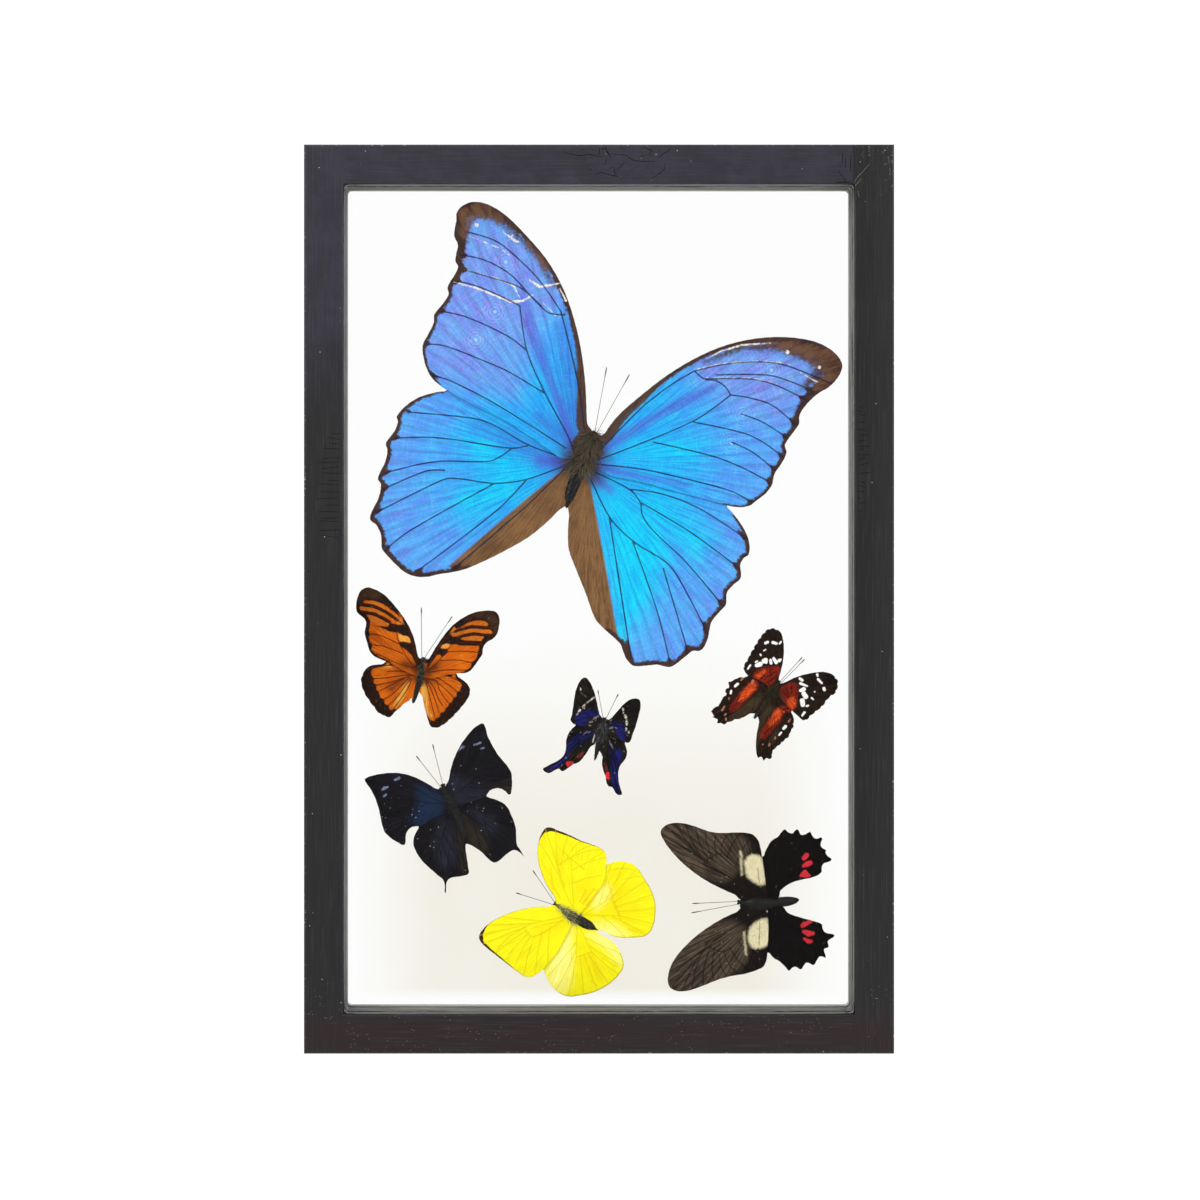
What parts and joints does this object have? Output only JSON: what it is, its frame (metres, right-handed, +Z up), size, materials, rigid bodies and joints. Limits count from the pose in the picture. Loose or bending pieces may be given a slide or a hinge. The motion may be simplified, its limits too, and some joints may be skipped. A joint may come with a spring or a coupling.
{
  "type": "framed butterfly specimen",
  "caption": "Shallow double-glass wall frame holding a group of spread butterflies sealed between two panes, hung by a toothed plate on its back.",
  "frame": {"origin": "on the plane of the frame's back, at the middle of the hanger's toothed edge, where the wall nail carries it", "axes": "+Z up along the frame's height, +X to the viewer's right, -Y out of the front glass, +Y into the wall"},
  "size_m": [0.198, 0.0223, 0.305],
  "materials": {
    "frame_paint": "wood brushed with semi-matt black paint",
    "glass": "clear picture glass",
    "brassed_steel": "thin brassed steel, lightly brushed",
    "insect_body": "dry dark body with fine hair",
    "glue": "clear dried glue",
    "blue_morpho_wing": "iridescent azure scales with a dark brown border",
    "banded_orange_wing": "orange scales with brown-black bands",
    "blue_metalmark_wing": "deep royal blue and black scales",
    "scarlet_peacock_wing": "dark brown scales with scarlet bands and white spots",
    "black_leafwing_wing": "blue-black satin scales",
    "yellow_sulphur_wing": "lemon yellow matt scales",
    "red_spot_swallowtail_wing": "velvet black scales with cream and red patches"
  },
  "bodies": {
    "root": {"rail_top": "frame_paint", "rail_bottom": "frame_paint", "stile_left": "frame_paint", "stile_right": "frame_paint", "glass_front": "glass", "glass_back": "glass", "sawtooth_hanger": "brassed_steel", "hanger_nail_left": "brassed_steel", "hanger_nail_right": "brassed_steel", "blue_morpho_body": "insect_body", "blue_morpho_forewing_left": "blue_morpho_wing", "blue_morpho_forewing_right": "blue_morpho_wing", "blue_morpho_hindwing_left": "blue_morpho_wing", "blue_morpho_hindwing_right": "blue_morpho_wing", "blue_morpho_glue": "glue", "banded_orange_body": "insect_body", "banded_orange_forewing_left": "banded_orange_wing", "banded_orange_forewing_right": "banded_orange_wing", "banded_orange_hindwing_left": "banded_orange_wing", "banded_orange_hindwing_right": "banded_orange_wing", "banded_orange_glue": "glue", "blue_metalmark_body": "insect_body", "blue_metalmark_forewing_left": "blue_metalmark_wing", "blue_metalmark_forewing_right": "blue_metalmark_wing", "blue_metalmark_hindwing_left": "blue_metalmark_wing", "blue_metalmark_hindwing_right": "blue_metalmark_wing", "blue_metalmark_glue": "glue", "scarlet_peacock_body": "insect_body", "scarlet_peacock_forewing_left": "scarlet_peacock_wing", "scarlet_peacock_forewing_right": "scarlet_peacock_wing", "scarlet_peacock_hindwing_left": "scarlet_peacock_wing", "scarlet_peacock_hindwing_right": "scarlet_peacock_wing", "scarlet_peacock_glue": "glue", "black_leafwing_body": "insect_body", "black_leafwing_forewing_left": "black_leafwing_wing", "black_leafwing_forewing_right": "black_leafwing_wing", "black_leafwing_hindwing_left": "black_leafwing_wing", "black_leafwing_hindwing_right": "black_leafwing_wing", "black_leafwing_glue": "glue", "yellow_sulphur_body": "insect_body", "yellow_sulphur_forewing_left": "yellow_sulphur_wing", "yellow_sulphur_forewing_right": "yellow_sulphur_wing", "yellow_sulphur_hindwing_left": "yellow_sulphur_wing", "yellow_sulphur_hindwing_right": "yellow_sulphur_wing", "yellow_sulphur_glue": "glue", "red_spot_swallowtail_body": "insect_body", "red_spot_swallowtail_forewing_left": "red_spot_swallowtail_wing", "red_spot_swallowtail_forewing_right": "red_spot_swallowtail_wing", "red_spot_swallowtail_hindwing_left": "red_spot_swallowtail_wing", "red_spot_swallowtail_hindwing_right": "red_spot_swallowtail_wing", "red_spot_swallowtail_glue": "glue"}
  },
  "joints": []
}
